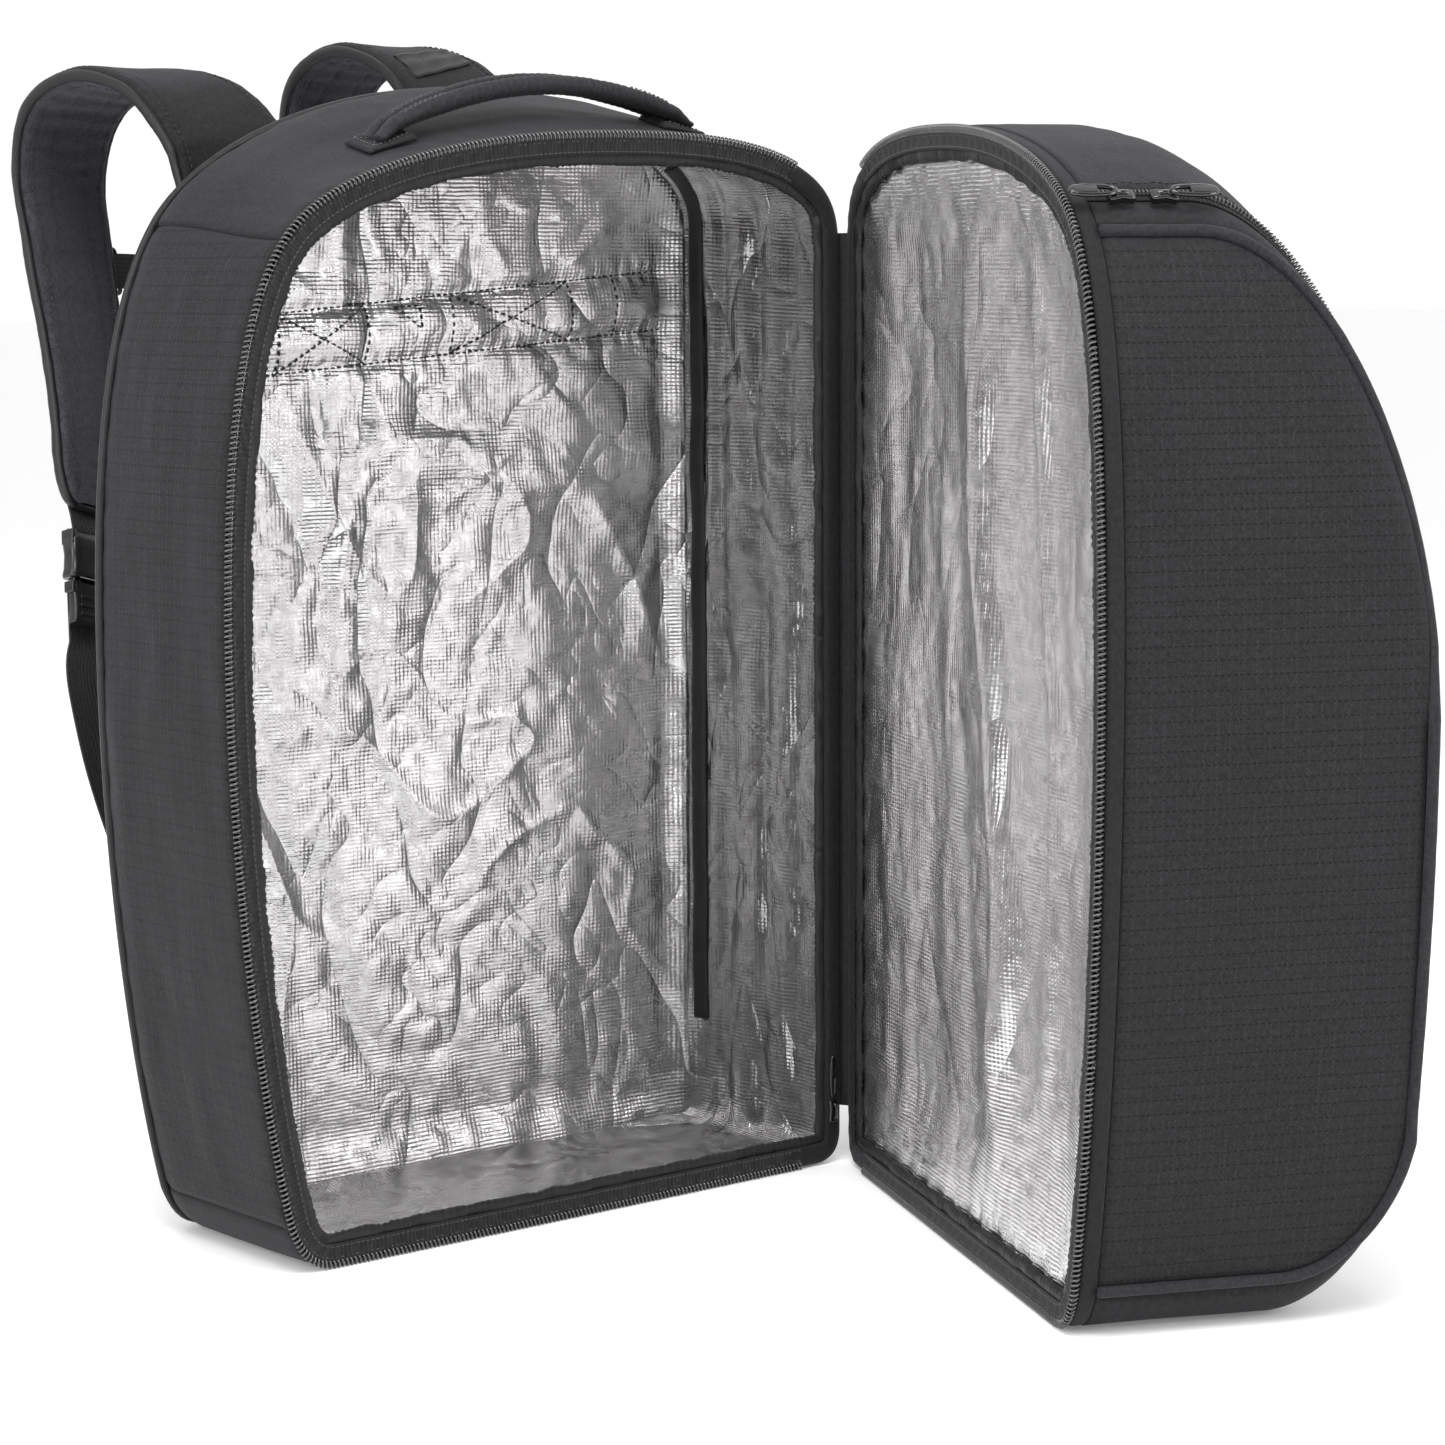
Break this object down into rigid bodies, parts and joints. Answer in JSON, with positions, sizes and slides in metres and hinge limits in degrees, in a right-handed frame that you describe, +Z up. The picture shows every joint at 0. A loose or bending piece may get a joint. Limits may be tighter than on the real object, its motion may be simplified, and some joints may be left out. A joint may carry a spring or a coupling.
{
  "type": "ski boot bag",
  "caption": "Backpack for ski boots, shown open: foil-lined boot compartment whose deep helmet-pocket door swings on one vertical edge, padded shoulder straps behind.",
  "frame": {"origin": "centre of the main compartment's base, on the floor", "axes": "+Z up; +Y towards the back panel and shoulder straps, so the boot opening faces -Y; +X towards the door's hinge side"},
  "size_m": [0.5336, 0.6971, 0.6038],
  "materials": {
    "ripstop_shell": "matte ripstop",
    "foil_lining": "metallised foil laminate",
    "zip_coil": "semi-gloss coil",
    "black_trim": "satin binding",
    "webbing": "woven webbing",
    "buckle_plastic": "semi-gloss moulded",
    "zip_metal": "gloss black enamel",
    "strap_padding": "mesh-faced foam"
  },
  "bodies": {
    "main_body": {"left_side_panel": "ripstop_shell", "top_panel": "ripstop_shell", "right_side_panel": "ripstop_shell", "bottom_panel": "ripstop_shell", "back_panel": "ripstop_shell", "back_seam_piping": "black_trim", "lining_left": "foil_lining", "lining_top": "foil_lining", "lining_right": "foil_lining", "lining_floor": "foil_lining", "lining_back": "foil_lining", "main_zip_coil": "zip_coil", "main_zip_tape": "black_trim", "main_binding": "black_trim", "main_slider": "zip_metal", "handle_anchor_left": "ripstop_shell", "handle_anchor_right": "ripstop_shell", "strap_yoke": "ripstop_shell", "left_webbing_anchor": "ripstop_shell", "right_webbing_anchor": "ripstop_shell"},
    "door": {"door_zip_coil": "zip_coil", "door_zip_tape": "black_trim", "door_binding": "black_trim", "door_rim": "ripstop_shell", "door_inner_panel": "foil_lining", "door_side_panel": "ripstop_shell", "door_hinge_panel": "ripstop_shell", "door_bottom_panel": "ripstop_shell", "door_side_piping": "black_trim", "helmet_gusset": "ripstop_shell", "helmet_zip_chain": "zip_coil"},
    "helmet_flap": {"helmet_flap": "ripstop_shell"},
    "helmet_slider_a": {"helmet_slider_a": "zip_metal"},
    "helmet_slider_b": {"helmet_slider_b": "zip_metal"},
    "helmet_pull_a": {"helmet_pull_a": "zip_metal"},
    "helmet_pull_b": {"helmet_pull_b": "zip_metal"},
    "main_pull": {"main_pull": "zip_metal"},
    "grab_handle": {"handle_tube_front": "ripstop_shell", "handle_tube_back": "ripstop_shell"},
    "left_strap": {"left_strap_pad": "strap_padding", "left_upper_webbing": "webbing", "left_buckle_socket": "buckle_plastic", "left_lower_webbing": "webbing", "left_sternum_webbing": "webbing", "left_sternum_buckle": "buckle_plastic"},
    "left_prongs": {"left_buckle_prongs": "buckle_plastic"},
    "right_strap": {"right_strap_pad": "strap_padding", "right_strap_tag": "webbing", "right_upper_webbing": "webbing", "right_buckle_socket": "buckle_plastic", "right_lower_webbing": "webbing", "right_sternum_webbing": "webbing", "right_sternum_buckle": "buckle_plastic"},
    "right_prongs": {"right_buckle_prongs": "buckle_plastic"}
  },
  "joints": [
    {"name": "door_hinge", "type": "hinge", "parent": "main_body", "child": "door", "pos_m": [0.176, -0.074, 0.27], "axis": [0, 0, 1], "range_deg": [-64, 104]},
    {"name": "helmet_flap_fold", "type": "hinge", "parent": "door", "child": "helmet_flap", "pos_m": [0.24297, -0.30568, 0.0915], "axis": [0.4321, 0.9018, 0], "range_deg": [0, 95]},
    {"name": "helmet_slider_a_slide", "type": "slide", "parent": "door", "child": "helmet_slider_a", "axis": [0.9018, -0.4321, 0], "range_m": [-0.01, 0]},
    {"name": "helmet_slider_b_slide", "type": "slide", "parent": "door", "child": "helmet_slider_b", "axis": [0.9018, -0.4321, 0], "range_m": [0, 0.012]},
    {"name": "helmet_pull_a_swing", "type": "hinge", "parent": "helmet_slider_a", "child": "helmet_pull_a", "pos_m": [0.04744, -0.39417, 0.51513], "axis": [0.3416, 0.713, 0.6124], "range_deg": [0, 100]},
    {"name": "helmet_pull_b_swing", "type": "hinge", "parent": "helmet_slider_b", "child": "helmet_pull_b", "pos_m": [0.07197, -0.40592, 0.51513], "axis": [-0.3416, -0.713, -0.6124], "range_deg": [0, 100]},
    {"name": "main_pull_swing", "type": "hinge", "parent": "main_body", "child": "main_pull", "pos_m": [0.1694, -0.0724, 0.03821], "axis": [0, -1, 0], "range_deg": [0, 60]},
    {"name": "grab_handle_swing", "type": "hinge", "parent": "main_body", "child": "grab_handle", "pos_m": [-0.085, -0.036, 0.55406], "axis": [0.9987, 0, 0.0518], "range_deg": [-18, 35]},
    {"name": "left_strap_swing", "type": "hinge", "parent": "main_body", "child": "left_strap", "pos_m": [-0.125, 0.0745, 0.06], "axis": [0.0543, 0.0043, 0.9985], "range_deg": [-4, 4]},
    {"name": "left_buckle_release", "type": "slide", "parent": "left_strap", "child": "left_prongs", "axis": [-0.1889, -0.3061, -0.9331], "range_m": [0, 0.024]},
    {"name": "right_strap_swing", "type": "hinge", "parent": "main_body", "child": "right_strap", "pos_m": [0.06, 0.0745, 0.06], "axis": [-0.0043, 0.0043, 1], "range_deg": [-4, 4]},
    {"name": "right_buckle_release", "type": "slide", "parent": "right_strap", "child": "right_prongs", "axis": [-0.1527, -0.3086, -0.9389], "range_m": [0, 0.024]}
  ]
}
